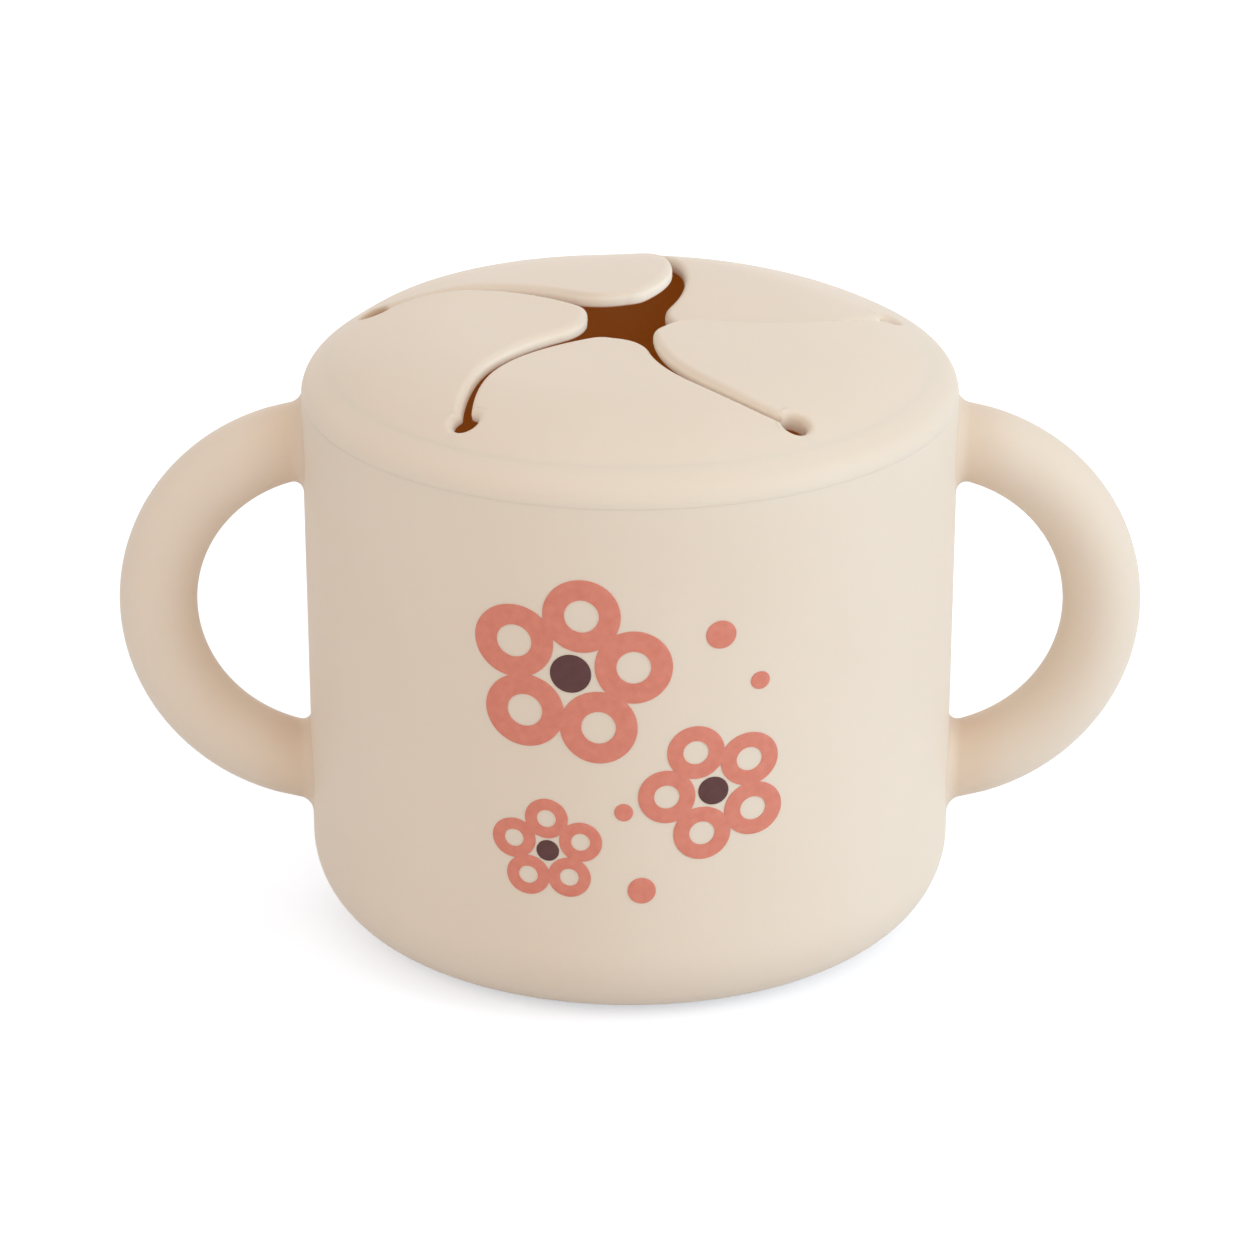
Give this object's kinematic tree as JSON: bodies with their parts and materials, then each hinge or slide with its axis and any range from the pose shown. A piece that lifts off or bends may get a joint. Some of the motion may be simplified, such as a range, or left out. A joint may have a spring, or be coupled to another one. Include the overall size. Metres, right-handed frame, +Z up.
{
  "type": "toddler snack cup",
  "caption": "Soft silicone toddler snack cup with two ring handles and a push-in domed lid whose slit flaps let a small hand reach in.",
  "frame": {"origin": "centre of the base, on the surface that the cup stands on", "axes": "+Z up along the cup's axis, +X through the right handle, the printed side faces -Y"},
  "size_m": [0.1352, 0.086, 0.0844],
  "materials": {
    "silicone": "matte beige silicone",
    "ink_pink": "matte printed ink",
    "ink_plum": "matte printed ink"
  },
  "bodies": {
    "cup": {"cup": "silicone", "handle_left": "silicone", "handle_right": "silicone", "print_pink": "ink_pink", "print_plum": "ink_plum"},
    "lid": {"lid_crown": "silicone", "lid_plug": "silicone"},
    "flap_front": {"flap_front": "silicone"},
    "flap_right": {"flap_right": "silicone"},
    "flap_back_right": {"flap_back_right": "silicone"},
    "flap_back_left": {"flap_back_left": "silicone"},
    "flap_left": {"flap_left": "silicone"}
  },
  "joints": [
    {"name": "lid_lift", "type": "slide", "parent": "cup", "child": "lid", "axis": [0, 0, 1], "range_m": [0, 0.04]},
    {"name": "flap_front_bend", "type": "hinge", "parent": "lid", "child": "flap_front", "pos_m": [0, -0.0288, 0.0798], "axis": [-1, 0, 0], "range_deg": [-23.6, 56.4], "stiffness_Nm_per_rad": 0.02},
    {"name": "flap_right_bend", "type": "hinge", "parent": "lid", "child": "flap_right", "pos_m": [0.02739, -0.0089, 0.0798], "axis": [-0.309, -0.9511, 0], "range_deg": [-20.8, 59.2], "stiffness_Nm_per_rad": 0.02},
    {"name": "flap_back_right_bend", "type": "hinge", "parent": "lid", "child": "flap_back_right", "pos_m": [0.01693, 0.0233, 0.0798], "axis": [0.809, -0.5878, 0], "range_deg": [-26.6, 53.4], "stiffness_Nm_per_rad": 0.02},
    {"name": "flap_back_left_bend", "type": "hinge", "parent": "lid", "child": "flap_back_left", "pos_m": [-0.01693, 0.0233, 0.0798], "axis": [0.809, 0.5878, 0], "range_deg": [-18.2, 61.8], "stiffness_Nm_per_rad": 0.02},
    {"name": "flap_left_bend", "type": "hinge", "parent": "lid", "child": "flap_left", "pos_m": [-0.02739, -0.0089, 0.0798], "axis": [-0.309, 0.9511, 0], "range_deg": [-20, 60], "stiffness_Nm_per_rad": 0.02}
  ]
}
